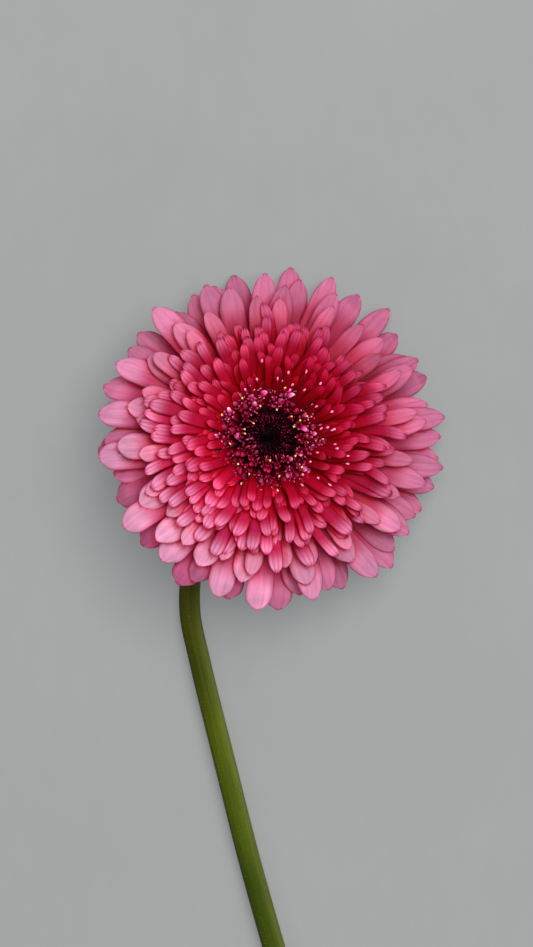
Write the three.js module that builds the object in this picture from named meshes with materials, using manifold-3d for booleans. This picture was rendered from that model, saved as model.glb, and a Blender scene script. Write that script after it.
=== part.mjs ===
// A cut gerbera: one double bloom on its leafless scape, laid down on a flat surface.
// Millimetres, +Z up. The origin is on the surface, under the middle of the whole flower.
// The bloom faces up and leans back over the far tips, and the scape lies off along -Y.

import * as THREE from "three";
import { mergeVertices } from "three/addons/utils/BufferGeometryUtils.js";
import Module from "manifold-3d";

const wasm = await Module();
wasm.setup();

const degrees = THREE.MathUtils.degToRad;

// Where the bloom is held: the middle of its receptacle, and which way it leans.
const SEAT = new THREE.Vector3(0, 119, 23.8);
const LEAN = degrees(24);
const LEAN_TOWARDS = degrees(48);
const GAP = 0.3;

// Blades of the bloom. Those away from the lean curl back more, and those of the far side
// reach further.
const BLADE_THICKNESS = 0.65;
const RAY_ARCH = 0.1;
const RAY_STATIONS = [0, 0.28, 0.62, 0.88, 1];
const CREST_STATIONS = [0, 0.35, 0.75, 1];
const FAR_SIDE_REACH = 0.04;
const CURL = 12;
const CURL_TOWARDS = degrees(205);
const WIDTH_SPREAD = 0.06;
const MIDLINE_STEPS = 60;
const ROOT_BEND_LENGTH = 0.12;

// Width along a blade as shares of its full width: at the root and at least at the tip.
// It is full at u = full and narrows from u = narrows, rounded by two powers.
const RAY_OUTLINE = { root: 0.22, full: 0.66, narrows: 0.66, least: 0.22, powers: [2.4, 0.75] };
const CREST_OUTLINE = { root: 0.35, full: 0.55, narrows: 0.6, least: 0.4, powers: [2.6, 0.7] };

// Each kind of seeded draw, and the numbers that scatter it.
const DRAW = { azimuth: 1, drift: 2, roll: 3, pitch: 4, tip: 5, width: 6, height: 7 };
const SCATTER = { row: 12.9898, index: 78.233, kind: 37.719, scale: 43758.5453 };

// Rows of ray florets, from the back of the bloom to the front: how many, radius and
// height of the root, radius of the tip, angles above level at the root, along the blade
// and at the tip, width, and the row's turn in steps.
const RAY_ROWS = [
  { count: 18, root: [10.5, -0.6], tip: 52.5, angles: [15, 0, -34], width: 12, turn: 0 },
  { count: 18, root: [10.5, 0.8], tip: 52, angles: [28, 4, -20], width: 12, turn: 0.5 },
  { count: 18, root: [10.5, 2.2], tip: 46.5, angles: [40, 8, -12], width: 10.6, turn: 0.25 },
];

// Tiers of the crest's short florets, from the outermost to the one round the disc.
const CREST_ROWS = [
  { count: 26, root: [10.2, 4.9], tip: 38.5, angles: [50, 17, -8], width: 5.3, turn: 0 },
  { count: 26, root: [10.2, 5.6], tip: 34.5, angles: [58, 25, -4], width: 4.8, turn: 0.5 },
  { count: 24, root: [10.2, 6.3], tip: 30.5, angles: [66, 33, 0], width: 4.5, turn: 0 },
  { count: 24, root: [10.2, 7], tip: 26, angles: [72, 42, 6], width: 3.9, turn: 0.5 },
  { count: 20, root: [10.2, 7.7], tip: 21.5, angles: [78, 54, 12], width: 3.7, turn: 0 },
];
const CREST_ROW_NUMBER = 3;

// Cores that the florets stand out of, as radius and height above the receptacle.
const RAY_CORE = [[0, -2.2], [13.3, -2.2], [12.7, 4], [0, 4]];
const CREST_CORE = [[0, 4.3], [12.2, 4.3], [11.5, 8.6], [0, 8.6]];
const DISC_CORE = [[7.3, 8.9], [9.8, 8.9], [9.8, 10.4], [7.3, 10.4]];
const BUD_CORE = [[0, 8.9], [7, 8.9], [7, 12.1], [3.5, 11.1], [0, 10.8]];

const CORE_SIDES = 18;
const BUD_CORE_SIDES = 12;

// Florets of the disc: open ones in a ring, buds in the middle.
const OPEN_ROWS = [
  { count: 18, rootRadius: 9.1, tip: [12.3, 14.1], turn: 0 },
  { count: 18, rootRadius: 8.6, tip: [10.8, 14.7], turn: 0.5 },
  { count: 16, rootRadius: 8.1, tip: [9, 14.4], turn: 0.25 },
];
const OPEN_ROW_NUMBER = 8;
const OPEN_ROOT_HEIGHT = 9.6;
const OPEN_SECTIONS = [[0, 0.5], [0.85, 1], [1, 0.6]];
const OPEN_SPREAD = { azimuth: 2, height: 0.3 };
const BUD_COUNT = 44;
const BUD_FIELD = 6.6;
const BUD_BOWL = { bottom: 10.8, depth: 1.3, radius: 7 };
const BUD_ROOT_DEPTH = 0.5;
const BUD_HEIGHT = 1.1;
const BUD_SECTIONS = [[0, 0.72], [1, 0.18]];
const GOLDEN_ANGLE = degrees(137.508);

// Green cup under the bloom and its bracts.
const CUP = [[0, -13], [3.7, -13], [6.4, -11.2], [10.4, -7], [12.9, -2.5], [0, -2.5]];
const BRACT_ROWS = [
  { root: [5, -12.4], tip: [11.8, -6], width: 3.6, turn: 0 },
  { root: [7.6, -10.2], tip: [14.2, -3.9], width: 3.8, turn: 0.5 },
  { root: [10, -7.6], tip: [16.2, -2.3], width: 3.8, turn: 0 },
];
const BRACT_THICKNESS = 0.9;
const BRACT_OUTLINE = [[0, 0.6], [0.55, 1], [1, 0.25]];
const BRACTS_IN_ROW = 12;

// Scape: its middle line, as place from the seat and height of its underside,
// its radius against the length along it, and its slanted cut. It starts on the bloom's
// axis, a gap under the cup, and keeps to it for a short straight neck.
const SCAPE_TOP = CUP[0][1] - GAP;
const SCAPE_NECK = 1.2;
const SCAPE_SIDES = 14;
const SCAPE_LINE = [
  [-5.7, -6.3, 3.5], [-8.2, -9.6, 0.9], [-10.9, -13.5, 0], [-15.6, -21, 0], [-21.5, -31.6, 0],
  [-27.2, -45.4, 0], [-28.3, -60, 0], [-25, -77, 0], [-17, -110, 0], [-8.8, -143, 0],
  [-0.2, -174, 0], [8, -202, 0], [15.4, -230, 0], [20.4, -258, 0], [22.4, -286, 0],
];
const SCAPE_RADII = [[0, 3.7], [6, 3.25], [16, 3.1], [60, 3.35], [170, 3.6], [330, 3.85]];
const CUT_SLANT = degrees(38);
const FLAT_WITHIN = 0.02;
const LENGTH_STEPS = 1000;

// Rings of the scape: closer together round its bend than along the rest.
const BEND_LENGTH = 20;
const BEND_RINGS = 10;
const STRAIGHT_RINGS = 33;

// Colours.
const RAY_PINK = 0xd9749a;
const CREST_CRIMSON = 0xc63a68;
const OPEN_FLORET_PURPLE = 0x8e3058;
const BUD_MAROON = 0x2a0512;
const CUP_GREEN = 0x5c7136;
const SCAPE_GREEN = 0x63762f;

// Seeded draw between -1 and 1 for one floret of one row.
function draw(row, index, kind) {
  const phase = row * SCATTER.row + index * SCATTER.index + kind * SCATTER.kind;
  const wave = Math.sin(phase) * SCATTER.scale;
  return 2 * (wave - Math.floor(wave)) - 1;
}

function smoothstep(value) {
  const t = Math.min(1, Math.max(0, value));
  return t * t * (3 - 2 * t);
}

// Value at x of a line through [x, value] points.
function along(points, x) {
  let last = points[0];
  for (const next of points) {
    if (next[0] >= x && next[0] > last[0]) {
      const share = (x - last[0]) / (next[0] - last[0]);
      return last[1] + (next[1] - last[1]) * share;
    }
    last = next;
  }
  return last[1];
}

// Solid through rings of the same even number of points, closed at both ends.
// Facing sides are split the same way, so that a thin blade's two faces never cross.
function loft(rings) {
  const size = rings[0].length;
  const half = size / 2;
  const vertices = rings.flat().flatMap((point) => [point.x, point.y, point.z]);
  const triangles = [];
  for (let k = 0; k + 1 < rings.length; k += 1) {
    for (let j = 0; j < size; j += 1) {
      const a = k * size + j;
      const b = k * size + ((j + 1) % size);
      const c = b + size;
      const d = a + size;
      if (j < half) {
        triangles.push([a, b, c], [a, c, d]);
      } else {
        triangles.push([a, b, d], [b, c, d]);
      }
    }
  }
  const last = (rings.length - 1) * size;
  for (let j = 0; j + 1 < half; j += 1) {
    const opposite = size - 1 - j;
    triangles.push([opposite, j + 1, j], [opposite, opposite - 1, j + 1]);
    triangles.push([last + j, last + j + 1, last + opposite]);
    triangles.push([last + j + 1, last + opposite - 1, last + opposite]);
  }
  const geometry = new THREE.BufferGeometry();
  geometry.setAttribute("position", new THREE.Float32BufferAttribute(vertices, 3));
  geometry.setIndex(triangles.flat());
  return turnedOut(geometry);
}

// The same solid with its faces pointing out.
function turnedOut(geometry) {
  const index = geometry.index.array;
  const position = geometry.attributes.position;
  const corner = (k) => new THREE.Vector3().fromBufferAttribute(position, index[k]);
  let volume = 0;
  for (let k = 0; k < index.length; k += 3) {
    volume += corner(k).dot(corner(k + 1).cross(corner(k + 2)));
  }
  if (volume < 0) {
    geometry.setIndex(Array.from(index).reverse());
  }
  return geometry;
}

// Round solid from a profile of [radius, height] points that starts and ends on the axis
// or, for a ring, closes on itself.
function turned(profile, sides) {
  const closes = profile[0][0] > 0;
  const outline = closes ? [...profile, profile[0]] : profile;
  const points = outline.map(([radius, height]) => new THREE.Vector2(radius, height));
  const geometry = new THREE.LatheGeometry(points, sides);
  geometry.deleteAttribute("normal");
  geometry.deleteAttribute("uv");
  geometry.rotateX(Math.PI / 2);
  return turnedOut(withoutSlivers(mergeVertices(geometry, 1e-4)));
}

// The same geometry without triangles that use a corner twice.
function withoutSlivers(geometry) {
  const index = Array.from(geometry.index.array);
  const kept = [];
  for (let k = 0; k < index.length; k += 3) {
    const [a, b, c] = index.slice(k, k + 3);
    if (a !== b && b !== c && c !== a) {
      kept.push(a, b, c);
    }
  }
  geometry.setIndex(kept);
  return geometry;
}

function solid(geometry) {
  return new wasm.Manifold(new wasm.Mesh({
    numProp: 3,
    vertProperties: new Float32Array(geometry.attributes.position.array),
    triVerts: new Uint32Array(geometry.index.array),
  }));
}

// One closed body out of several that cross each other.
function fused(geometries) {
  const whole = geometries.map(solid).reduce((sum, next) => sum.add(next));
  const mesh = whole.getMesh();
  const geometry = new THREE.BufferGeometry();
  geometry.setAttribute("position", new THREE.Float32BufferAttribute(mesh.vertProperties, 3));
  geometry.setIndex(Array.from(mesh.triVerts));
  return geometry;
}

// The bloom's own frame: the group leans about a level line through the seat.
const bloom = new THREE.Group();
bloom.position.copy(SEAT);
const leanLine = new THREE.Vector3(-Math.sin(LEAN_TOWARDS), Math.cos(LEAN_TOWARDS), 0);
bloom.quaternion.setFromAxisAngle(leanLine, LEAN);
bloom.updateMatrixWorld(true);

// Middle line of a blade, as radius, height and angle above level, at even steps.
// It leaves the core steeply, runs nearly straight and droops towards the tip.
function midline([rise, level, droop], root, tipRadius, pitch) {
  const angles = [];
  for (let k = 0; k < MIDLINE_STEPS; k += 1) {
    const u = (k + 0.5) / MIDLINE_STEPS;
    const bend = (rise - level) * Math.exp(-u / ROOT_BEND_LENGTH);
    angles.push(degrees(level + bend + (droop - level) * u * u + pitch));
  }
  const reach = angles.reduce((sum, angle) => sum + Math.cos(angle), 0);
  const step = (tipRadius - root.radius) / reach;
  const line = [root];
  for (const angle of angles) {
    const last = line[line.length - 1];
    line.push({
      radius: last.radius + step * Math.cos(angle),
      height: last.height + step * Math.sin(angle),
    });
  }
  return (u) => {
    const place = Math.min(u * MIDLINE_STEPS, MIDLINE_STEPS - 1e-6);
    const k = Math.floor(place);
    const share = place - k;
    return {
      radius: line[k].radius * (1 - share) + line[k + 1].radius * share,
      height: line[k].height * (1 - share) + line[k + 1].height * share,
      angle: angles[k],
    };
  };
}

// Share of the full width at u: narrow at the root, widest past the middle, oval at the tip.
function widthShare(outline, u) {
  const swell = outline.root + (1 - outline.root) * smoothstep(u / outline.full);
  const x = Math.max(0, (u - outline.narrows) / (1 - outline.narrows));
  const [inner, outer] = outline.powers;
  return swell * Math.max(outline.least, (1 - x ** inner) ** outer);
}

// One blade: pairs of points on its upper and lower face at each station, lofted.
// A pair that would be under the surface is lifted onto it, so the tips press flat.
function blade(row, number, index, look) {
  const side = index % 2 === 0 ? 1 : -1;
  const spread = look.azimuth * draw(number, index, DRAW.azimuth);
  const azimuth = 2 * Math.PI * (index + row.turn) / row.count + degrees(spread);
  const drift = degrees(look.drift * draw(number, index, DRAW.drift));
  const roll = degrees(look.roll * draw(number, index, DRAW.roll));
  const pitch = look.pitch * draw(number, index, DRAW.pitch);
  const farReach = 1 + FAR_SIDE_REACH * Math.cos(azimuth - LEAN_TOWARDS);
  const tipRadius = row.tip * farReach + look.tip * draw(number, index, DRAW.tip);
  const root = { radius: row.root[0], height: row.root[1] + side * look.stagger };
  const fullWidth = row.width * (1 + WIDTH_SPREAD * draw(number, index, DRAW.width));
  const [rise, level, droop] = row.angles;
  const curl = CURL * Math.cos(azimuth - CURL_TOWARDS);
  const at = midline([rise, level, droop - curl], root, tipRadius, pitch);
  const rings = look.stations.map((u) => {
    const { radius, height, angle } = at(u);
    const turn = azimuth + drift * u * u;
    const out = new THREE.Vector3(Math.cos(turn), Math.sin(turn), 0);
    const across = new THREE.Vector3(-Math.sin(turn), Math.cos(turn), 0);
    const middle = out.clone().multiplyScalar(radius).setZ(height);
    const normal = out.clone().multiplyScalar(-Math.sin(angle)).setZ(Math.cos(angle));
    const tangent = across.clone().cross(normal);
    across.applyAxisAngle(tangent, -roll * u);
    normal.applyAxisAngle(tangent, -roll * u);
    const width = fullWidth * widthShare(look.outline, u);
    const upper = [];
    const lower = [];
    for (const s of look.across) {
      const point = middle.clone().addScaledVector(across, s * width / 2);
      point.addScaledVector(normal, -look.arch * width * s * s);
      const top = point.clone().addScaledVector(normal, BLADE_THICKNESS / 2);
      const bottom = point.addScaledVector(normal, -BLADE_THICKNESS / 2);
      lift(top, bottom);
      upper.push(top);
      lower.push(bottom);
    }
    return [...upper, ...lower.reverse()];
  });
  return loft(rings);
}

// Moves a pair of points that reaches under the surface straight up onto it.
function lift(top, bottom) {
  const lowest = Math.min(
    bottom.clone().applyMatrix4(bloom.matrixWorld).z,
    top.clone().applyMatrix4(bloom.matrixWorld).z,
  );
  if (lowest >= 0) {
    return;
  }
  for (const point of [top, bottom]) {
    const placed = point.clone().applyMatrix4(bloom.matrixWorld);
    placed.z -= lowest;
    point.copy(bloom.worldToLocal(placed));
  }
}

const RAY_LOOK = {
  stations: RAY_STATIONS, across: [-1, 0, 1], arch: RAY_ARCH, outline: RAY_OUTLINE,
  azimuth: 2, drift: 2, roll: 5, pitch: 1.2, tip: 1.8, stagger: 0.6,
};
const CREST_LOOK = {
  stations: CREST_STATIONS, across: [-1, 1], arch: 0, outline: CREST_OUTLINE,
  azimuth: 1, drift: 2, roll: 7, pitch: 1.2, tip: 1.5, stagger: 0.25,
};

function rowsOfBlades(rows, firstNumber, look) {
  return rows.flatMap((row, k) => Array.from(
    { length: row.count },
    (_, index) => blade(row, firstNumber + k, index, look),
  ));
}

function rayFlorets() {
  return fused([turned(RAY_CORE, CORE_SIDES), ...rowsOfBlades(RAY_ROWS, 0, RAY_LOOK)]);
}

function crestFlorets() {
  const florets = rowsOfBlades(CREST_ROWS, CREST_ROW_NUMBER, CREST_LOOK);
  return fused([turned(CREST_CORE, CORE_SIDES), ...florets]);
}

// Four-sided peg along a line, with a [share of the length, radius] list.
function peg(from, to, sections, turn) {
  const axis = to.clone().sub(from);
  const first = new THREE.Vector3(Math.cos(turn), Math.sin(turn), 0);
  const second = new THREE.Vector3(-Math.sin(turn), Math.cos(turn), 0);
  return loft(sections.map(([share, radius]) => {
    const middle = from.clone().addScaledVector(axis, share);
    return [[1, 1], [-1, 1], [-1, -1], [1, -1]].map(([a, b]) => middle.clone()
      .addScaledVector(first, a * radius * Math.SQRT1_2)
      .addScaledVector(second, b * radius * Math.SQRT1_2));
  }));
}

function onCircle(radius, azimuth, height) {
  return new THREE.Vector3(radius * Math.cos(azimuth), radius * Math.sin(azimuth), height);
}

function discFlorets() {
  const florets = OPEN_ROWS.flatMap((row, k) => Array.from({ length: row.count }, (_, index) => {
    const number = OPEN_ROW_NUMBER + k;
    const spread = OPEN_SPREAD.azimuth * draw(number, index, DRAW.azimuth);
    const azimuth = 2 * Math.PI * (index + row.turn) / row.count + degrees(spread);
    const height = row.tip[1] + OPEN_SPREAD.height * draw(number, index, DRAW.height);
    const root = onCircle(row.rootRadius, azimuth, OPEN_ROOT_HEIGHT);
    const tip = onCircle(row.tip[0], azimuth, height);
    return peg(root, tip, OPEN_SECTIONS, azimuth);
  }));
  return fused([turned(DISC_CORE, CORE_SIDES), ...florets]);
}

// Height of the bud field's bowl.
function bowl(radius) {
  return BUD_BOWL.bottom + BUD_BOWL.depth * (radius / BUD_BOWL.radius) ** 2;
}

function discBuds() {
  const buds = Array.from({ length: BUD_COUNT }, (_, index) => {
    const radius = BUD_FIELD * Math.sqrt((index + 0.5) / BUD_COUNT);
    const azimuth = index * GOLDEN_ANGLE;
    const root = onCircle(radius, azimuth, bowl(radius) - BUD_ROOT_DEPTH);
    const tip = onCircle(radius, azimuth, bowl(radius) + BUD_HEIGHT);
    return peg(root, tip, BUD_SECTIONS, azimuth);
  });
  return fused([turned(BUD_CORE, BUD_CORE_SIDES), ...buds]);
}

// A bract lies along the cup with its tip standing off it.
function bract(row, index) {
  const azimuth = 2 * Math.PI * (index + row.turn) / BRACTS_IN_ROW;
  const across = new THREE.Vector3(-Math.sin(azimuth), Math.cos(azimuth), 0);
  const root = onCircle(row.root[0], azimuth, row.root[1]);
  const tip = onCircle(row.tip[0], azimuth, row.tip[1]);
  const normal = tip.clone().sub(root).cross(across).normalize();
  return loft(BRACT_OUTLINE.map(([u, share]) => {
    const middle = root.clone().lerp(tip, u);
    const half = row.width * share / 2;
    const thick = BRACT_THICKNESS / 2;
    return [[-half, thick], [half, thick], [half, -thick], [-half, -thick]].map(([a, b]) => middle
      .clone().addScaledVector(across, a).addScaledVector(normal, b));
  }));
}

function involucre() {
  const bracts = BRACT_ROWS.flatMap((row) => Array.from(
    { length: BRACTS_IN_ROW },
    (_, index) => bract(row, index),
  ));
  return fused([turned(CUP, BRACTS_IN_ROW), ...bracts]);
}

// Middle line of the scape. Where it lies, its lowest facet is on the surface.
function scapeLine() {
  const apothem = Math.cos(Math.PI / SCAPE_SIDES);
  const top = new THREE.Vector3(0, 0, SCAPE_TOP).applyMatrix4(bloom.matrixWorld);
  const below = new THREE.Vector3(0, 0, SCAPE_TOP - SCAPE_NECK).applyMatrix4(bloom.matrixWorld);
  const points = [top, below];
  let run = top.distanceTo(below);
  for (const [x, y, under] of SCAPE_LINE) {
    const place = new THREE.Vector3(SEAT.x + x, SEAT.y + y, under);
    run += place.distanceTo(points[points.length - 1]);
    place.z += along(SCAPE_RADII, run) * apothem;
    points.push(place);
  }
  return new THREE.CatmullRomCurve3(points, false, "centripetal");
}

// Length along the scape of each of its rings.
function ringPlaces(length) {
  const places = [];
  for (let k = 0; k < BEND_RINGS; k += 1) {
    places.push(BEND_LENGTH * k / BEND_RINGS);
  }
  for (let k = 0; k <= STRAIGHT_RINGS; k += 1) {
    places.push(BEND_LENGTH + (length - BEND_LENGTH) * k / STRAIGHT_RINGS);
  }
  return places;
}

// The scape: a facet faces down where it lies, its top is square to the bloom's axis and
// its foot is cut on the slant. Points a hair off the surface are set on it.
function scape() {
  const line = scapeLine();
  line.arcLengthDivisions = LENGTH_STEPS;
  const length = line.getLength();
  const upward = new THREE.Vector3(0, 0, 1);
  const rings = [];
  const places = ringPlaces(length);
  for (const place of places) {
    const share = Math.min(1, place / length);
    const middle = line.getPointAt(share);
    const tangent = line.getTangentAt(share);
    const radius = along(SCAPE_RADII, place);
    const side = tangent.clone().cross(upward).normalize();
    const normal = side.clone().cross(tangent);
    const ring = [];
    for (let j = 0; j < SCAPE_SIDES; j += 1) {
      const angle = 2 * Math.PI * (j + 0.5) / SCAPE_SIDES - Math.PI / 2;
      const point = middle.clone()
        .addScaledVector(side, radius * Math.cos(angle))
        .addScaledVector(normal, radius * Math.sin(angle));
      if (rings.length + 1 === places.length) {
        point.addScaledVector(tangent, radius * Math.sin(angle) * Math.tan(CUT_SLANT));
      }
      if (point.z < FLAT_WITHIN) {
        point.z = 0;
      }
      ring.push(point);
    }
    rings.push(ring);
  }
  return loft(rings);
}

function piece(name, geometry, color, roughness) {
  const material = new THREE.MeshStandardMaterial({ color, roughness, metalness: 0 });
  const mesh = new THREE.Mesh(geometry, material);
  mesh.name = name;
  return mesh;
}

bloom.add(piece("ray_florets", rayFlorets(), RAY_PINK, 0.6));
bloom.add(piece("crest_florets", crestFlorets(), CREST_CRIMSON, 0.6));
bloom.add(piece("disc_florets", discFlorets(), OPEN_FLORET_PURPLE, 0.5));
bloom.add(piece("disc_buds", discBuds(), BUD_MAROON, 0.5));
bloom.add(piece("involucre", involucre(), CUP_GREEN, 0.7));

const group = new THREE.Group();
group.add(bloom);
group.add(piece("scape", scape(), SCAPE_GREEN, 0.6));

export default group;
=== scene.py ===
# A cut gerbera lying on a pale surface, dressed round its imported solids.
# Lengths are millimetres, as in the part's source, until a mesh is made in metres.

import math
from functools import reduce

import bpy
import numpy as np
from mathutils import Matrix, Vector
from mathutils.bvhtree import BVHTree


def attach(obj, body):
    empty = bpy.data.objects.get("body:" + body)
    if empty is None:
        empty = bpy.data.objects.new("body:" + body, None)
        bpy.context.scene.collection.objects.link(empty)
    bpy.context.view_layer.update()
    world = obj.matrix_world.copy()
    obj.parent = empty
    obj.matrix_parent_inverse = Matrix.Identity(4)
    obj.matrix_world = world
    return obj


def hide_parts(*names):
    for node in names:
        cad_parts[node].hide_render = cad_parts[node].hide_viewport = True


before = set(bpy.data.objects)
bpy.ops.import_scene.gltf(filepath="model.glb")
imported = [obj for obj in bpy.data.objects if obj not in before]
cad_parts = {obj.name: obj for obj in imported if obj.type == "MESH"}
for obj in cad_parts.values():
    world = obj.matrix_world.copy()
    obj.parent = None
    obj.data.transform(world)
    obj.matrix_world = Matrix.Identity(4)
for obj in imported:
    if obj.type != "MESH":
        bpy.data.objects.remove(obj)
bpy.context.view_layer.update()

MM = 0.001
TAU = 2 * math.pi
GOLDEN_ANGLE = math.radians(137.508)
UP = np.array([0.0, 0.0, 1.0])
NORTH = np.array([0.0, 1.0, 0.0])

# Added to a level direction, and used in place of UP, so that nothing runs along them.
OFF_LEVEL = 0.01 * UP
OFF_UP = UP + 0.1

# Where the bloom is held and how it leans, as in the part's source.
SEAT = np.array([0.0, 119.0, 23.8])
LEAN = math.radians(24)
LEAN_TOWARDS = math.radians(48)

# The photograph: its size, the disc's place in it, the bloom's radius there and in truth,
# and where the camera stands.
PHOTO_SIZE = (533, 947)
DISC_PIXEL = (267, 439)
BLOOM_RADIUS_PX = 172
BLOOM_RADIUS = 52.5
DISC_HEIGHT = 9
CAMERA_DISTANCE = 900
CAMERA_TILT = math.radians(16)
CAMERA_CLEAR = 45
SENSOR = 36

# Seeded draws, as in the part's source: a number for each kind, and what scatters them.
DRAW = {"azimuth": 1, "drift": 2, "roll": 3, "pitch": 4, "tip": 5, "width": 6, "height": 7,
        "seed": 8, "pick": 9, "lean": 10, "pale": 11, "curl": 12, "left": 13, "right": 14,
        "x": 15, "y": 16, "z": 17}
SCATTER = {"row": 12.9898, "index": 78.233, "kind": 37.719, "scale": 43758.5453}

# Middle lines of the petals: how much further they reach where the bloom leans and on the
# right, how much more they droop on one side, in degrees, and the bend at the root. All
# but the reach on the right is as in the part's source.
FAR_SIDE_REACH = 0.04
RIGHT_REACH = 0.045
RIGHT_TOWARDS = math.radians(-5)
CURL = 12
CURL_TOWARDS = math.radians(205)
MIDLINE_STEPS = 60
ROOT_BEND_LENGTH = 0.12

# Form and shading of a petal. Places go from 0 to 1 along it, and from 0 in the middle to
# 1 at the rim. A pair is where something begins or stands, and how far it takes.
SHAPED_FROM = (0.15, 0.3)
GROOVE = (0.36, 0.13)
WAVES_ALONG = 1.3
ROUND_ARCH = 0.4
ARCH_LOST = 0.7
HOOD_FROM = (0.78, 0.22)
NOTCH = (0.4, 0.18)
TIP_POWER = 8
TIP_THINNED = 0.4
DARK_SIDE = (0.1, 0.5)
DARK_END = (0.95, 0.04)
GRAIN_APART = 40

# Rows of ray florets: how many, radius and height of the root, radius of the tip, angles
# above level, width, the row's turn in steps, and, if any, its painted shade on the near
# side, where the row lies under the others.
RAY_ROWS = (
    {"count": 18, "root": (10.5, -0.6), "tip": 52.5, "angles": (15, 0, -34), "width": 8.7, "turn": 0,
     "shade": (0.74, 0.27, 0.43)},
    {"count": 18, "root": (10.5, 0.8), "tip": 52, "angles": (28, 4, -20), "width": 8.6, "turn": 0.5,
     "shade": (0.96, 0.86, 0.9)},
    {"count": 18, "root": (10.5, 2.2), "tip": 46.5, "angles": (40, 8, -12), "width": 8.2, "turn": 0.25},
    {"count": 24, "root": (10.5, 3.5), "tip": 42, "angles": (45, 13, -8), "width": 5.6, "turn": 0.6},
)

# One more ray stands behind each gap, wider than this in degrees, between the tips of the
# two outer rows, with the back rows' painted shade.
WIDE_GAP = 10.5
FILLING_ROW = {"root": (10.5, 0.1), "tip": 50.5, "angles": (21, 2, -27), "width": 8.2,
               "shade": (0.78, 0.34, 0.5)}
FILLING_ROW_NUMBER = 40

# Tiers of the crest, finer than the source's: radius of the tips, how many and how wide.
# The rest follows from that radius, as between the source's outer and inner tiers.
CREST_TIERS = (
    (39.3, 38, 4.3), (36.4, 38, 4.2), (33.4, 38, 4), (30.4, 36, 3.8),
    (27.4, 36, 3.6), (24.5, 34, 3.4), (21.6, 32, 3.2), (18.8, 28, 3),
)
CREST_ROOT_RADIUS = 10.2
CREST_OUTER = {"tip": 38.5, "height": 4.8, "angles": np.array([50, 16.5, -4])}
CREST_INNER = {"tip": 21.5, "height": 7.55, "angles": np.array([78, 52.5, 9])}
CREST_ROW_NUMBER = 20

# Painted shade in the crevices between petals and in the shadows that petals cast from the
# lamp: how it tints the colour, how shut in a place is that has the whole tint, the
# brightest colour, the rays that find out, and the weight of the lamp's ray.
CREVICE_SHADE_TINT = np.array([1.05, 0.03, 0.15])
CREVICE_FULL = 0.62
CREVICE_BRIGHTEST = 0.9
CREVICE_RAYS = 12
CREVICE_TILTS = (math.radians(25), math.radians(50), math.radians(70))
CREVICE_REACH = 5
CREVICE_CLEAR = 0.05
LAMP_WEIGHT = 4
LAMP_REACH = 10

# Colours as they show in daylight, 0 to 255. A number before one is its place: distance
# from the bloom's axis on petals, length from the top on the scape, or else the share of
# the way to the tip. The petals' near and far colours are lit and shaded copies: painted
# light makes the near side, down and to the left, paler, painted shade makes the far side
# deeper, and a power draws the tones between them towards the far side's.
FAR_SIDE = math.radians(45)
SHADED_SIDE_POWER = 0.6
RAY_LIT_NEAR = (
    (10, (150, 10, 40)), (30, (218, 104, 136)), (37, (224, 148, 180)), (45, (226, 168, 202)),
    (53, (226, 172, 208)),
)
RAY_SHADED_FAR = (
    (10, (140, 0, 30)), (30, (180, 28, 64)), (37, (182, 62, 98)), (44, (180, 88, 124)),
    (53, (180, 98, 136)),
)
RAY_UNDER = ((10, (150, 120, 90)), (20, (200, 110, 124)), (53, (212, 92, 128)))
CREST_LIT_NEAR = (
    (10, (144, 0, 32)), (15, (208, 14, 70)), (20, (234, 76, 130)), (26, (236, 120, 168)),
    (32, (236, 152, 192)), (39, (234, 170, 208)),
)
CREST_SHADED_FAR = (
    (10, (124, 0, 24)), (15, (168, 0, 38)), (22, (186, 8, 56)), (28, (194, 34, 84)),
    (34, (196, 66, 112)), (39, (196, 86, 130)),
)
CREST_END = (112, 6, 44)
RECEPTACLE_COLOUR = (150, 120, 80)
CREST_CORE_COLOUR = (90, 0, 18)
# The cores under the disc florets and the buds are near black: partly their own dark colour, partly
# painted shade of the sunken middle.
DISC_CORE_COLOUR = (20, 0, 6)
BUD_CORE_COLOUR = (2, 0, 1)
TUBE_COLOURS = ((0, (40, 0, 14)), (0.6, (80, 0, 26)), (1, (125, 6, 42)))
COLUMN_COLOURS = ((0, (50, 0, 18)), (0.6, (104, 6, 36)), (1, (180, 60, 84)))
BUD_DARK = ((0, (3, 0, 1)), (0.5, (12, 0, 4)), (1, (28, 0, 8)))
BUD_TIPPED = ((0, (5, 0, 2)), (0.6, (36, 0, 12)), (0.85, (66, 0, 22)), (1, (116, 26, 52)))
# The pale lips' whitish ends are partly their own pale pink, partly a painted highlight.
LIP_CRIMSON = ((0, (14, 0, 3)), (0.4, (46, 0, 11)), (0.7, (104, 0, 30)), (1, (166, 8, 60)))
LIP_PALE = ((0, (56, 0, 18)), (0.4, (124, 6, 58)), (0.7, (196, 70, 130)), (1, (240, 190, 220)))
POLLEN_COLOUR = (232, 192, 78)
STYLE_COLOUR = (104, 0, 20)
STIGMA_COLOUR = (222, 112, 150)
CUP_COLOUR = (70, 86, 40)
BRACT_COLOURS = ((0, (78, 96, 44)), (0.7, (84, 100, 46)), (0.93, (80, 74, 48)), (1, (92, 44, 58)))
# Along the scape: partly its own greens, partly painted shade, darker just below the head where the
# bloom shades it.
SCAPE_COLOURS = (
    (0, (60, 48, 0)), (44, (72, 64, 0)), (62, (53, 54, 0)), (88, (45, 52, 0)), (107, (60, 68, 3)),
    (135, (53, 66, 2)), (160, (41, 53, 0)), (330, (60, 74, 8)),
)
HAIR_COLOUR = (132, 142, 72)
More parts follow.
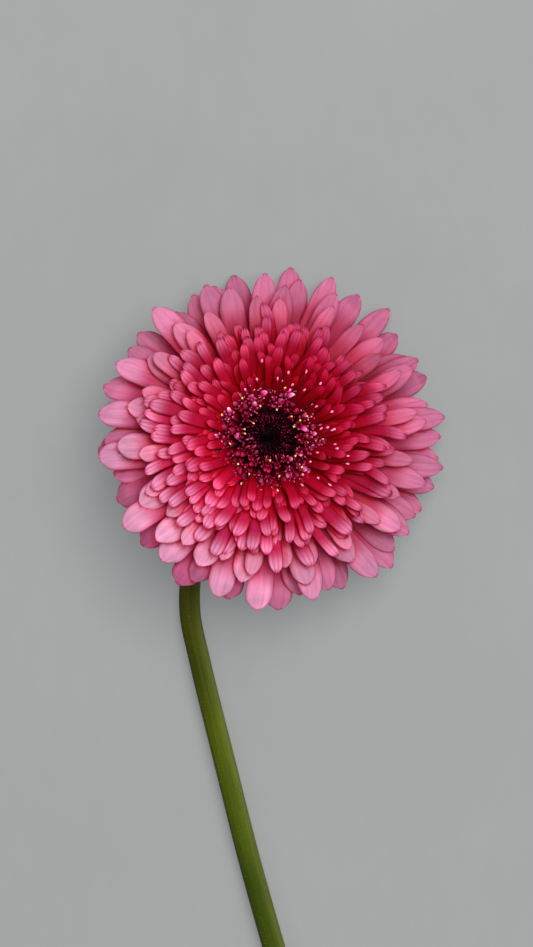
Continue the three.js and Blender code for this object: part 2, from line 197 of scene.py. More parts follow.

# What each kind of blade looks like. Pairs are for the near and the far side, but for pale,
# which is where the full colour begins and how far it takes. An outline has the share of
# the width at the root, where the width is full, how many half widths the tip takes to
# narrow, the least share, and two powers that round the tip.
# deep, grooved, rim and rim_tint give the darker root, grooves and rims: partly the petals' own colour,
# partly painted shade. end darkens the crest's ends on the far side: painted shade.
RAY_LOOK = {
    "along": 1 - (1 - np.linspace(0, 1, 27)) ** 1.6,
    "across": np.array([-1, -0.88, -0.7, -0.5, -0.36, -0.2, 0, 0.2, 0.36, 0.5, 0.7, 0.88, 1]),
    "outlines": np.array([(0.3, 0.46, 1.4, 0.34, 2.2, 0.5), (0.3, 0.46, 2.6, 0.2, 1.9, 0.56)]),
    "narrow": (1, 0.9), "short": 0, "arch": (0.1, 0.03), "hood": (0.14, -0.02),
    "groove": 0.16, "wave": 0.3, "tooth": (0.04, 0.3), "round": 0.6, "thick": 0.34, "edge": 0.14,
    "spreads": {"azimuth": 2.2, "roll": 7, "pitch": 1.6, "width": 0.06, "pick": 0.3, "curl": 0.03,
                "x": 0.04},
    "drift": (2.6, 2.6), "tip": (1.8, 1.8), "stagger": 0.6,
    "near": RAY_LIT_NEAR, "far": RAY_SHADED_FAR, "under": RAY_UNDER, "uneven": (0.1, 0.18),
    "deep": np.array([0.72, 0.22, 0.37]), "pale": (0.68, 0.18), "grooved": (0.2, 0.2),
    "rim": (0.9, 0.6), "edging": 0.11, "tip_edging": 0.012,
    "rim_tint": np.array([(0.74, 0.12, 0.3), (0.6, 0.14, 0.3)]), "end": 0,
}
CREST_LOOK = {
    "along": 1 - (1 - np.linspace(0, 1, 18)) ** 2,
    "across": np.array([-1, -0.84, -0.6, -0.36, 0, 0.36, 0.6, 0.84, 1]),
    "outlines": np.array([(0.34, 0.5, 1.3, 0.36, 2.1, 0.52), (0.38, 0.5, 2.8, 0.3, 1.9, 0.56)]),
    "narrow": (1, 0.84), "short": 0.07, "arch": (0.11, -0.02), "hood": (0.12, -0.02),
    "groove": 0.22, "wave": 0.18, "tooth": (0.2, 0.36), "round": 0.35, "thick": 0.34, "edge": 0.16,
    "spreads": {"azimuth": 2.8, "roll": 17, "pitch": 2.8, "width": 0.2, "pick": 0.3, "curl": 0.12,
                "x": 0.16},
    "drift": (6, 10), "tip": (3.2, 3.8), "stagger": 0.25,
    "near": CREST_LIT_NEAR, "far": CREST_SHADED_FAR, "under": CREST_SHADED_FAR, "uneven": (0.12, 0.1),
    "deep": np.array([0.54, 0.055, 0.17]), "pale": (0.78, 0.18), "grooved": (0.5, 0.4),
    "rim": (1, 0.6), "edging": 0.17, "tip_edging": 0.03,
    "rim_tint": np.array([(0.66, 0.05, 0.2), (0.46, 0.06, 0.24)]), "end": 0.85,
}

# Cores under the florets, as (radius, height) on the bloom's axis.
RAY_CORE = ((9.6, -2.2), (10.8, -1.6), (10.9, 0), (10.9, 4))
CREST_CORE = ((10.4, 4.3), (10.6, 5), (10.5, 8), (9.9, 8.6))
DISC_CORE = ((9.6, 8.9), (9.7, 9.4), (9.3, 10.2))
BUD_CORE = ((6.9, 8.9), (7, 9.6), (6.4, 11.2), (3.5, 10.9), (1, 10.7))
CORE_SIDES = 48

# Rows of open disc florets: radius of the root, radius and height of the mouth, the share
# of pale ones, height and lean of the column of anthers, and how far in they stand on the
# near side. Then what the near and the far side make of the share of pale ones, and where
# a floret begins to be pale and how far that takes.
OPEN_ROWS = (
    {"count": 28, "root": 9.4, "tip": (14.9, 14), "turn": 0, "pale": 0.84, "column": (1.8, 0.1),
     "inward": 0},
    {"count": 27, "root": 8.9, "tip": (12.7, 14.3), "turn": 0.5, "pale": 0.5, "column": (2, 0.3),
     "inward": 0.4},
    {"count": 25, "root": 8.1, "tip": (10.4, 13.9), "turn": 0.25, "pale": 0.24, "column": (2.8, 0.9),
     "inward": 1.8},
)
OPEN_ROW_NUMBER = 8
OPEN_ROOT_HEIGHT = 9.6
OPEN_SPREADS = {"azimuth": 5.5, "height": 0.8, "lean": 0.9, "roll": 1.1, "tip": 0.35}
PALE_SIDES = (0.5, 1.1)
PALE_EDGE = (-0.2, 0.4)

# Tube and column of an open floret: shares of the way and radii of the tube, the same of
# the column, and how much its lean varies.
OPEN_SHARES = np.array([0, 0.4, 0.8, 1])
TUBE_RADII = (0.4, 0.45, 0.6, 0.7)
TUBE_SIDES = 8
COLUMN = ((-0.2, 0.26), (0.5, 0.3), (0.9, 0.28), (1, 0.12))
COLUMN_LEAN_SPREAD = 0.5
FINE_SIDES = 6

# Lobes of an open floret's lip, with an outline like the petals'. The outer ones are
# turned round the mouth, each with its size and its share of the floret's paleness, and
# the inner ones stand opposite.
LIP_TAPER = 1
LIP = {
    "outline": (0.5, 0.5, LIP_TAPER, 0.3, 3.6, 0.55),
    "across": np.array([-1, -0.4, 0.4, 1]), "steps": 8, "thick": 0.16, "hollow": 0.1,
    "length_spread": 0.4, "width_spread": 0.2, "curl_spread": 0.7, "late": 1.2, "uneven": 0.3,
}
OUTER_LIP = {"length": 2.4, "width": 1.6, "turns": (5, 100), "out": 0.5}
OUTER_LOBES = (
    {"turn": -1, "draw": "x", "size": 0.5, "pale": 0.3},
    {"turn": 0, "draw": "y", "size": 1.14, "pale": 1},
    {"turn": 1, "draw": "z", "size": 0.5, "pale": 0.3},
)
INNER_LIP = {"length": 1.9, "width": 0.6, "turns": (0, 125), "back": 0.4, "aside": 0.3,
             "turned": 0.6, "pale": 0.4}

# Pollen: clumps on the columns whose draw is above this, how many, how large and how far
# apart, and their form as (height, radius) in sizes.
POLLEN_ABOVE = 0.2
POLLEN_CLUMPS = 4
POLLEN_SIZE = 0.22
POLLEN_SIZE_SPREAD = 0.3
POLLEN_APART = 0.2
CLUMP = ((-1, 0.35), (-0.5, 0.85), (0.5, 0.85), (1, 0.35))

# Buds: how many, from which radius to which, and the sunken field that they stand on.
# Pairs go from the inner buds to the outer ones, but for where paler tips begin and how
# far that takes. The form is (place along, radius).
BUD_ROW_NUMBER = 11
BUD_COUNT = 330
BUD_FIELD = (2.6, 8.8)
BUD_BOWL = {"bottom": 10.8, "depth": 1.3, "radius": 7}
BUD_ROOT_DEPTH = 0.5
BUD_HEIGHTS = (1, 2.5)
BUD_HEIGHT_POWER = 1.5
BUD_LEANS = (0.5, 2.3)
BUD_SPREADS = {"height": 0.25, "lean": 0.35, "azimuth": 0.06, "pale": 0.4}
BUD_BELLY = 0.2
BUD_TIPPED_FROM = (0.69, 0.4)
BUD_UNEVEN = 0.3
BUD_STOUTER = 0.2
BUD = ((0, 0.24), (0.45, 0.26), (0.8, 0.19), (1, 0.08))

# Stigmas: how many of the crest's florets show one, at least and more on one side, how far
# out and how much that varies, and the longest style as a share of the petal. The style's
# form is (place along, height over the petal, radius), and the lobes' is (height, radius).
STIGMA_SHARE = (0.1, 0.7)
STIGMA_TOWARDS = math.radians(15)
STIGMA_REACH = 19.5
STIGMA_SPREADS = {"lean": 6.5}
STYLE_LONGEST = 0.75
STYLE = ((0.06, 0.1, 0.14), (0.5, 0.2, 0.12), (0.85, 0.5, 0.12), (1, 1.1, 0.15))
STYLE_SIDES = 5
STIGMA = ((0, 0.14), (0.3, 0.28), (0.85, 0.3), (1.25, 0.1))
STIGMA_LIFT = 0.3
STIGMA_APART = 0.08
STIGMA_STOUTER = 0.25

# Green cup, as (radius, height), and the rows and form of its bracts, whose rib has a
# height and a width.
CUP = ((3.7, -13), (6.4, -11.2), (10.4, -7), (12.4, -3.2), (12.4, -2.5))
BRACT_ROWS = (
    {"count": 20, "root": (5, -12.4), "tip": (11.8, -6), "width": 2.9, "turn": 0},
    {"count": 20, "root": (7.6, -10.2), "tip": (14.2, -3.9), "width": 3.1, "turn": 0.5},
    {"count": 20, "root": (10, -7.6), "tip": (16.2, -2.3), "width": 3.1, "turn": 0},
)
BRACT_ROW_NUMBER = 12
BRACT = {
    "along": np.linspace(0, 1, 10), "across": np.array([-1, -0.5, 0, 0.5, 1]),
    "spreads": {"azimuth": 2.5, "tip": 0.06}, "belly": 0.35, "root": 0.6, "full": 0.4,
    "narrowed": 0.93, "taper": 1.4, "hollow": 0.1, "rib": (0.1, 0.25), "thick": 0.7,
    "thin_rim": 0.7, "thin_tip": 0.6, "dark_rim": 0.2, "uneven": 0.15,
}

# Scape, as in the part's source: its top and its neck, its line as places from the
# bloom's seat with the height of its underside, its radii as (length from the top,
# radius), and the slant of its cut.
SCAPE_TOP = -13.3
SCAPE_NECK = 1.2
SCAPE_SOLID_SIDES = 14
SCAPE_LINE = (
    (-5.7, -6.3, 3.5), (-8.2, -9.6, 0.9), (-10.9, -13.5, 0), (-15.6, -21, 0), (-21.5, -31.6, 0),
    (-27.2, -45.4, 0), (-28.3, -60, 0), (-25, -77, 0), (-17, -110, 0), (-8.8, -143, 0),
    (-0.2, -174, 0), (8, -202, 0), (15.4, -230, 0), (20.4, -258, 0), (22.4, -286, 0),
)
SCAPE_RADII = ((0, 3.7), (6, 3.25), (16, 3.1), (60, 3.35), (170, 3.6), (330, 3.85))
SCAPE_CURVE_STEPS = 40
CUT_SLANT = math.radians(38)

# Its finer make: rings, ribs, a painted lit side towards +X, paler, with the rest of the
# skin in painted shade, the stretch that the cut shapes, and the cut face as size, depth
# and colour of rings from the skin inwards.
SCAPE_SIDES = 36
SCAPE_RING_STEP = 1.3
SCAPE_WIDTH = 3.4
RIB_COUNT = 11
RIB_DEPTH = 0.012
RIB_TWIST = 0.012
RIB_SHADE = 0.07
SCAPE_SHADE_TONE = 0.9
SCAPE_LIT_COLOUR = (86, 94, 42)
SCAPE_LIT_SHARE = 0.75
SCAPE_LIT_FROM = (0.4, 0.8)
CUT_ZONE = 12
CUT_FACE = (
    (0.97, 0, (120, 138, 70)), (0.86, 0.1, (168, 182, 120)), (0.6, 0.15, (196, 204, 158)),
    (0.32, 0.3, (176, 180, 132)), (0.26, 1.2, (88, 92, 56)), (0.1, 1.5, (60, 62, 36)),
)

# Hairs: their clearance over the surface, how many and how long, how they lean and scatter,
# how many rings at the scape's ends are bare, and how far outside the cup the rest grow.
HAIR_SEED = 7
HAIR_RADIUS = 0.024
HAIR_SUNK = 0.08
HAIR_CLEAR = 0.05
SCAPE_HAIR = {"count": 3200, "lengths": (0.25, 0.6), "along": 0.35, "scatter": 0.2, "bare": 4}
BRACT_HAIR = {"count": 1200, "lengths": (0.5, 1.2), "down": 0.4, "scatter": 0.35, "out": 0.9}

# Floor, sky and lamp. The floor fades into the sky between two distances in metres.
FLOOR_HALF = 12000
FLOOR_COLOUR = (0.1131, 0.1146, 0.1153)
FLOOR_GLOW = 0.16
FLOOR_FADE = (0.5, 5)
SKY_COLOUR = (0.95, 0.98, 1)
SKY_STRENGTH = 0.6
LAMP = {"azimuth": math.radians(48), "height": math.radians(58), "distance": 2600, "size": 1700,
        "power": 140, "colour": (1, 0.985, 0.96)}

# Share of a petal's light that comes through it.
PETAL_THROUGH = 0.46


def linear(colour):
    """Linear colour of one given as it shows, 0 to 255."""
    share = np.asarray(colour, float) / 255
    return np.where(share <= 0.04045, share / 12.92, ((share + 0.055) / 1.055) ** 2.4)


def ramp(stops, x):
    """Linear colours at x of a line through (x, colour) stops."""
    places = [place for place, _ in stops]
    colours = np.array([linear(colour) for _, colour in stops])
    channels = [np.interp(x, places, colours[:, k]) for k in range(3)]
    return np.stack(channels, axis=-1)


def draw(row, index, kind):
    """Seeded draw between -1 and 1 for one floret of one row, the same as in the source."""
    phase = row * SCATTER["row"] + index * SCATTER["index"] + DRAW[kind] * SCATTER["kind"]
    wave = math.sin(phase) * SCATTER["scale"]
    return 2 * (wave - math.floor(wave)) - 1


def draws(spreads, row, index):
    """The draws of one floret, each times its spread, which is 1 if none is given."""
    return lambda kind: spreads.get(kind, 1) * draw(row, index, kind)


def florets(rows, first_number):
    """Each floret of the rows, as its row, the row's number and its place in the row."""
    for k, row in enumerate(rows):
        for index in range(row["count"]):
            yield row, first_number + k, index


def unsigned(value):
    """A value between -1 and 1, brought between 0 and 1."""
    return 0.5 + 0.5 * value


def rising(value, start, run):
    """0 up to start, then a smooth rise to 1 over run."""
    t = np.clip((value - start) / run, 0, 1)
    return t * t * (3 - 2 * t)


def bump(value, middle, width):
    """1 at the middle, fading out over width on each side."""
    return np.exp(-(((value - middle) / width) ** 2))


def sided(pair, far):
    """Value between a pair's two, such as the near side's and the far side's."""
    return pair[0] * (1 - far) + pair[1] * far


def unit(vectors):
    return vectors / np.linalg.norm(vectors, axis=-1, keepdims=True)


def summed(steps):
    """Running sums of the steps, from nothing."""
    return np.concatenate([0 * steps[:1], np.cumsum(steps, axis=0)])


def lengths_along(line):
    """Length along a line at each of its points."""
    return summed(np.linalg.norm(np.diff(line, axis=0), axis=1))


def circle_point(radius, azimuth, height):
    return np.array([radius * math.cos(azimuth), radius * math.sin(azimuth), height])


def direction(azimuth, elevation):
    return circle_point(math.cos(elevation), azimuth, math.sin(elevation))


def facing(azimuth, towards):
    """1 towards a direction, 0 away from it."""
    return unsigned(math.cos(azimuth - towards))


def azimuth_in(row, index, aside=0):
    """Azimuth of one of a row's florets, set aside by some degrees."""
    return TAU * (index + row["turn"]) / row["count"] + math.radians(aside)


LEAN_LINE = Vector((-math.sin(LEAN_TOWARDS), math.cos(LEAN_TOWARDS), 0))
LEANING = np.array(Matrix.Rotation(LEAN, 3, LEAN_LINE))


def placed(points):
    """Points of the bloom's own frame, in the frame of the whole part."""
    return np.asarray(points) @ LEANING.T + SEAT


class Form:
    """Points and faces gathered from many small shapes, with a colour and a place on the
    grain for each point."""

    def __init__(self):
        self.points = []
        self.tints = []
        self.grains = []
        self.faces = []
        self.size = 0

    def add(self, points, faces, tints, grains):
        count = len(points)
        self.points.append(points)
        self.tints.append(np.broadcast_to(tints, (count, 3)))
        self.grains.append(np.broadcast_to(grains, (count, 3)))
        self.faces.extend((face + self.size).tolist() for face in faces)
        self.size += count

    def mesh(self, name):
        data = bpy.data.meshes.new(name)
        faces = [face for group in self.faces for face in group]
        data.from_pydata((np.concatenate(self.points) * MM).tolist(), [], faces)
        tints = np.column_stack([np.concatenate(self.tints), np.ones(self.size)])
        layers = (
            ("tint", "FLOAT_COLOR", "color", tints),
            ("grain", "FLOAT_VECTOR", "vector", np.concatenate(self.grains)),
        )
        for layer, kind, field, values in layers:
            attribute = data.attributes.new(layer, kind, "POINT")
            attribute.data.foreach_set(field, values.astype(np.float32).ravel())
        data.polygons.foreach_set("use_smooth", [True] * len(data.polygons))
        return data


def shell_faces(rows, columns):
    """Quads of a closed thin shell: the upper grid, the lower grid turned over, the rim."""
    grid = np.arange(rows * columns).reshape(rows, columns)
    corners = (grid[:-1, :-1], grid[1:, :-1], grid[1:, 1:], grid[:-1, 1:])
    upper = np.stack(corners, axis=-1).reshape(-1, 4)
    under = rows * columns
    lower = upper[:, ::-1] + under
    rim = np.concatenate([grid[0], grid[1:, -1], grid[-1, -2::-1], grid[-2:0:-1, 0]])
    after = np.roll(rim, -1)
    edge = np.stack([rim, after, after + under, rim + under], axis=-1)
    return np.concatenate([upper, lower, edge])


def add_blade(form, blade, half, bow, thick, tints, run, seed, slide=0):
    """Thin closed blade along blade's middle line. half is a grid of places across it, and
    bow and thick are the height over that line and the thickness there. run is the length
    along it, and slide moves the grid's points. What would be under the surface is lifted
    onto it."""
    middle = blade["middle"][:, None]
    across = blade["across"] * np.ones_like(middle)
    normal = blade["normal"] * np.ones_like(middle)
    centre = middle + across * half[..., None] + normal * (bow + 0 * half)[..., None] + slide
    lift = normal * (thick + 0 * half)[..., None] / 2
    upper = placed(centre + lift)
    lower = placed(centre - lift)
    sunk = np.maximum(0, -np.minimum(upper[..., 2], lower[..., 2]))
    upper[..., 2] += sunk
    lower[..., 2] += sunk
    points = np.concatenate([upper.reshape(-1, 3), lower.reshape(-1, 3)])
    shades = np.concatenate([tint.reshape(-1, 3) for tint in tints])
    none = np.zeros_like(half)
    grain = np.stack([half, run[:, None] + none, GRAIN_APART * seed + none], axis=-1)
    grains = np.concatenate([grain.reshape(-1, 3)] * 2)
    form.add(points, [shell_faces(*half.shape)], shades, grains)


def tube_faces(rings, sides):
    """Quads round the rings, and a fan to a middle point at each end."""
    grid = np.arange(rings * sides).reshape(rings, sides)
    after = np.roll(grid, -1, axis=1)
    corners = (grid[:-1], grid[1:], after[1:], after[:-1])
    wall = np.stack(corners, axis=-1).reshape(-1, 4)
    start = np.full(sides, rings * sides)
    foot = np.stack([grid[0], after[0], start], axis=-1)
    head = np.stack([after[-1], grid[-1], start + 1], axis=-1)
    return [wall, foot, head]


def turns(sides):
    return TAU * np.arange(sides) / sides


def ways_round(side, over, sides):
    """Directions round each ring, from side towards over."""
    angle = turns(sides)[:, None]
    return side[:, None] * np.cos(angle) + over[:, None] * np.sin(angle)


def capped(values):
    """What a tube's rings have, and the same for the middle point of each end."""
    return np.concatenate([values, values[:1], values[-1:]])


def add_tube(form, line, radii, sides, level, tints, seed):
    """Closed tube along a line of the bloom's frame, with one colour for each ring. level
    is a direction that no part of the line follows."""
    line = np.asarray(line, float)
    tangent = unit(np.gradient(line, axis=0))
    side = unit(np.cross(tangent, np.asarray(level, float)))
    rounds = ways_round(side, np.cross(side, tangent), sides)
    rings = line[:, None] + rounds * np.asarray(radii)[:, None, None]
    points = np.concatenate([rings.reshape(-1, 3), line[:1], line[-1:]])
    shades = capped(np.repeat(np.broadcast_to(tints, (len(line), 3)), sides, axis=0))
    along = capped(np.repeat(lengths_along(line), sides))
    around = np.append(np.tile(turns(sides), len(line)), (0, 0)) * max(radii)
    grain = np.stack([around, along, np.full(len(along), seed)], axis=-1)
    form.add(placed(points), tube_faces(len(line), sides), shades, grain)


def add_rod(form, start, way, shape, level, tints, seed, stoutness=1, bend=0):
    """Thin tube from start along way, with pairs of a place along it and the radius there.
    bend moves its second ring."""
    places, radii = np.array(shape).T
    line = start + way * places[:, None]
    line[1] += bend
    add_tube(form, line, radii * stoutness, FINE_SIDES, level, tints, seed)


def add_axle(form, profile, colour):
    """Round core about the bloom's axis, from (radius, height) pairs."""
    line = [(0, 0, height) for _, height in profile]
    radii = [radius for radius, _ in profile]
    add_tube(form, line, radii, CORE_SIDES, (1, 0, 0), linear(colour), 0)


def midline(angles, root, tip_radius, pitch, u):
    """Radius, height and angle at u along a blade's middle line, and its length: steep at
    the core, then nearly straight, with a droop towards the tip. As in the part's source."""
    rise, level, droop = angles
    middles = (np.arange(MIDLINE_STEPS) + 0.5) / MIDLINE_STEPS
    bend = (rise - level) * np.exp(-middles / ROOT_BEND_LENGTH)
    angle = np.radians(level + bend + (droop - level) * middles * middles + pitch)
    step = (tip_radius - root[0]) / np.cos(angle).sum()
    ends = np.arange(MIDLINE_STEPS + 1) / MIDLINE_STEPS
    radius = np.interp(u, ends, root[0] + step * summed(np.cos(angle)))
    height = np.interp(u, ends, root[1] + step * summed(np.sin(angle)))
    return radius, height, np.interp(u, middles, angle), step * MIDLINE_STEPS


def width_share(outline, u, slenderness):
    """Share of the full width at u, of a blade that is so many half widths long."""
    root, full, taper, least, inner, outer = outline
    x = np.maximum(0, 1 - (1 - u) * slenderness / taper)
    return (root + (1 - root) * rising(u, 0, full)) * np.maximum(least, (1 - x ** inner) ** outer)


def petal_blade(row, number, index, look, u):
    """Middle line, directions and other facts of one petal, at the stations u."""
    drawn = draws(look["spreads"], number, index)
    azimuth = azimuth_in(row, index, drawn("azimuth"))
    far = facing(azimuth, FAR_SIDE)
    drift = math.radians(sided(look["drift"], far) * drawn("drift"))
    roll = math.radians(drawn("roll"))
    reach = 1 + FAR_SIDE_REACH * math.cos(azimuth - LEAN_TOWARDS)
    reach += RIGHT_REACH * facing(azimuth, RIGHT_TOWARDS) ** 2
    tip_radius = row["tip"] * reach * (1 - look["short"] * far)
    tip_radius += sided(look["tip"], far) * drawn("tip")
    stagger = look["stagger"] if index % 2 == 0 else -look["stagger"]
    root = (row["root"][0], row["root"][1] + stagger)
    rise, level, droop = row["angles"]
    angles = (rise, level, droop - CURL * math.cos(azimuth - CURL_TOWARDS))
    radius, height, angle, length = midline(angles, root, tip_radius, drawn("pitch"), u)
    turn = azimuth + drift * u * u
    none = np.zeros_like(u)
    out = np.stack([np.cos(turn), np.sin(turn), none], axis=-1)
    level_across = np.stack([-np.sin(turn), np.cos(turn), none], axis=-1)
    straight = -out * np.sin(angle)[:, None] + UP * np.cos(angle)[:, None]
    rolled = (-roll * u)[:, None]
    return {
        "middle": out * radius[:, None] + UP * height[:, None],
        "across": (level_across * np.cos(rolled) + straight * np.sin(rolled))[:, None],
        "normal": (straight * np.cos(rolled) - level_across * np.sin(rolled))[:, None],
        "radius": radius, "length": length, "far": far,
        "width": row["width"] * sided(look["narrow"], far) * (1 + drawn("width")),
    }


def petal_tints(row, look, blade, grooves, seed, pale):
    """Colours of a petal's upper and under side. It is deeper in colour towards the root,
    in the grooves and at the rim: partly the petal's own colour, partly painted shade where
    petals lie under and against each other. The crest's ends on the far side are darkened:
    painted shade."""
    u = look["along"]
    s = look["across"]
    far = blade["far"]
    tone = far ** SHADED_SIDE_POWER
    radius = blade["radius"][:, None] + 0 * s
    uneven = 1 + sided(look["uneven"], far) * seed
    # Painted light and shade: the near side's lit colours blend into the far side's shaded ones.
    tint = sided((ramp(look["near"], radius), ramp(look["far"], radius)), tone)
    # Painted shade on the near side of rows that lie under others.
    tint = tint * uneven * sided((np.array(row.get("shade", 1)), 1), tone)
    fresh = rising(u, *look["pale"])[:, None] * (1 - sided(look["grooved"], far) * grooves)
    tint = tint * sided((look["deep"], 1), fresh[..., None])
    side_rim = bump(np.abs(s), 1, look["edging"])
    tip_rim = bump(u, 1, look["tip_edging"])[:, None]
    rim = sided(look["rim"], far) * np.maximum(side_rim, tip_rim)
    tint = tint * sided((1, sided(look["rim_tint"], far)), rim[..., None])
    dark = look["end"] * rising(far, *DARK_SIDE) * unsigned(pale)
    tint = sided((tint, linear(CREST_END)), dark * rising(u, *DARK_END)[:, None, None])
    return tint, ramp(look["under"], radius) * uneven


def add_petal(form, row, number, index, look):
    u = look["along"]
    s = look["across"]
    drawn = draws(look["spreads"], number, index)
    seed = drawn("seed")
    blade = petal_blade(row, number, index, look, u)
    far = blade["far"]
    outline = sided(look["outlines"], np.clip(far + drawn("pick"), 0, 1))
    width = blade["width"] * width_share(outline, u, 2 * blade["length"] / blade["width"])
    half = width[:, None] / 2 * s
    end = u[:, None] ** TIP_POWER

    # Arched across, with two grooves, a slow wave at the edges and a tip that bends over.
    shaped = rising(u, *SHAPED_FROM)[:, None]
    grooves = bump(np.abs(s), *GROOVE) * shaped
    waves = np.sin(TAU * (WAVES_ALONG * u + seed))[:, None] * s * np.abs(s) * shaped
    arch = (sided(look["arch"], far) + drawn("curl")) * (1 - ARCH_LOST * end)
    bow = -arch * width[:, None] * (ROUND_ARCH * s ** 2 + (1 - ROUND_ARCH) * s ** 4)
    bow = bow - look["groove"] * grooves + look["wave"] * waves
    hood = (sided(look["hood"], far) + drawn("x")) * rising(u, *HOOD_FROM)[:, None] ** 2
    bow = bow - hood * blade["width"]

    # The tip's corners are drawn back, and its three teeth are parted by two notches.
    back = look["round"] * s ** 2 + sided(look["tooth"], far) * bump(np.abs(s), *NOTCH)
    slide = -(end * back)[..., None] * np.cross(blade["across"], blade["normal"])
    thick = look["edge"] + (look["thick"] - look["edge"]) * (1 - s ** 4)
    thick = thick * (1 - TIP_THINNED * end)
    tints = petal_tints(row, look, blade, grooves, seed, drawn("pale"))
    add_blade(form, blade, half, bow, thick, tints, u * blade["length"], seed, slide)


def add_rows(form, rows, first_number, look):
    for row, number, index in florets(rows, first_number):
        add_petal(form, row, number, index, look)


def wide_gaps():
    """Middles of the wide gaps between the tips of the two outer rows, in turns."""
    tips = []
    for row, number, index in florets(RAY_ROWS[:2], 0):
        aside = RAY_LOOK["spreads"]["azimuth"] * draw(number, index, "azimuth")
        aside += RAY_LOOK["drift"][0] * draw(number, index, "drift")
        tips.append(azimuth_in(row, index, aside) / TAU % 1)
    tips.sort()
    after = tips[1:] + [tips[0] + 1]
    return [(tip + then) / 2 for tip, then in zip(tips, after) if then - tip > WIDE_GAP / 360]


def ray_florets():
    form = Form()
    add_axle(form, RAY_CORE, RECEPTACLE_COLOUR)
    add_rows(form, RAY_ROWS, 0, RAY_LOOK)
    for index, middle in enumerate(wide_gaps()):
        row = {**FILLING_ROW, "count": 1, "turn": middle - index}
        add_petal(form, row, FILLING_ROW_NUMBER, index, RAY_LOOK)
    return form


def crest_rows():
    """Tiers of the crest, each as a row of petals."""
    rows = []
    for k, (tip, count, width) in enumerate(CREST_TIERS):
        inner = (tip - CREST_OUTER["tip"]) / (CREST_INNER["tip"] - CREST_OUTER["tip"])
        height = sided((CREST_OUTER["height"], CREST_INNER["height"]), inner)
        rows.append({
            "count": count, "root": (CREST_ROOT_RADIUS, height), "tip": tip, "width": width,
            "angles": sided((CREST_OUTER["angles"], CREST_INNER["angles"]), inner),
            "turn": 0.5 * (k % 2),
        })
    return rows


def crest_florets():
    form = Form()
    add_axle(form, CREST_CORE, CREST_CORE_COLOUR)
    add_rows(form, crest_rows(), CREST_ROW_NUMBER, CREST_LOOK)
    return form


def curled_line(start, axis, front, turn, length, count):
    """Points from start that set out along axis and curl towards front, and the directions
    square to them. turn has the first and last angle from the axis."""
    share = (np.arange(count) + 0.5) / count
    angle = np.radians(turn[0] + (turn[1] - turn[0]) * share ** LIP["late"])[:, None]
    line = start + summed((axis * np.cos(angle) + front * np.sin(angle)) * length / count)
    angle = np.concatenate([angle, angle[-1:]])
    return line, axis * np.sin(angle) - front * np.cos(angle)


def add_lip(form, start, axis, front, lip, seed, curl, pale, size=1):
    """One curled lobe of a disc floret. seed and curl vary its size and its bend."""
    length = lip["length"] * size * (1 + LIP["length_spread"] * seed)
    first, last = lip["turns"]
    turn = (first, last * (1 + LIP["curl_spread"] * curl))
    line, normal = curled_line(start, axis, front, turn, length, LIP["steps"])
    u = np.linspace(0, 1, len(line))
    s = LIP["across"]
    width = lip["width"] * size
    share = width_share(LIP["outline"], u, LIP_TAPER)
    half = width * (1 + LIP["width_spread"] * curl) / 2 * share[:, None] * s
    blade = {"middle": line, "across": np.cross(axis, front), "normal": normal[:, None]}
    tint = sided((ramp(LIP_CRIMSON, u), ramp(LIP_PALE, u)), pale)
    tint = tint[:, None] * np.ones((1, len(s), 1)) * (1 + LIP["uneven"] * seed)
    bow = -LIP["hollow"] * width * s ** 2
    add_blade(form, blade, half, bow, LIP["thick"], (tint, tint), u * length, seed)


def add_open_floret(form, row, number, index):
    """Tube, a broad outer lobe with a small one on each side, two narrow inner lips and the
    column of anthers. Returns the column's end."""
    drawn = draws(OPEN_SPREADS, number, index)
    seed = drawn("seed")
    curl = drawn("curl")
    azimuth = azimuth_in(row, index, drawn("azimuth"))
    far = facing(azimuth, FAR_SIDE)
    radius, height = row["tip"]
    radius += drawn("lean") - row["inward"] * (1 - far)
    mouth = circle_point(radius, azimuth, height + drawn("height"))
    root = circle_point(row["root"], azimuth, OPEN_ROOT_HEIGHT)
    axis = unit(mouth - root)
    out = circle_point(1, azimuth + drawn("roll"), 0)
    front = unit(out - axis * (out @ axis))
    side = np.cross(axis, front)
    level = side + OFF_LEVEL
    line = root + (mouth - root) * OPEN_SHARES[:, None]
    add_tube(form, line, TUBE_RADII, TUBE_SIDES, level, ramp(TUBE_COLOURS, OPEN_SHARES), seed)

    # A floret is pale if its draw is under the share of pale ones there.
    under = row["pale"] * sided(PALE_SIDES, far) - unsigned(drawn("pale"))
    pale = float(rising(under, *PALE_EDGE))
    for lobe in OUTER_LOBES:
        turned = front * math.cos(lobe["turn"]) + side * math.sin(lobe["turn"])
        own = drawn(lobe["draw"])
        start = mouth + turned * OUTER_LIP["out"]
        bend = (curl + own) / 2
        add_lip(form, start, axis, turned, OUTER_LIP, own, bend, pale * lobe["pale"], lobe["size"])
    for way, kind in ((-1, "left"), (1, "right")):
        start = mouth - front * INNER_LIP["back"] + side * way * INNER_LIP["aside"]
        turned = unit(way * INNER_LIP["turned"] * side - front)
        own = drawn(kind)
        add_lip(form, start, axis, turned, INNER_LIP, own, -own, pale * INNER_LIP["pale"])

    height, inward = row["column"]
    rise = height * (1 + drawn("tip"))
    lean = inward * (1 + COLUMN_LEAN_SPREAD * curl)
    way = rise * unit(axis - lean * circle_point(1, azimuth, 0))
    add_rod(form, mouth, way, COLUMN, level, ramp(COLUMN_COLOURS, OPEN_SHARES), seed)
    return mouth + way


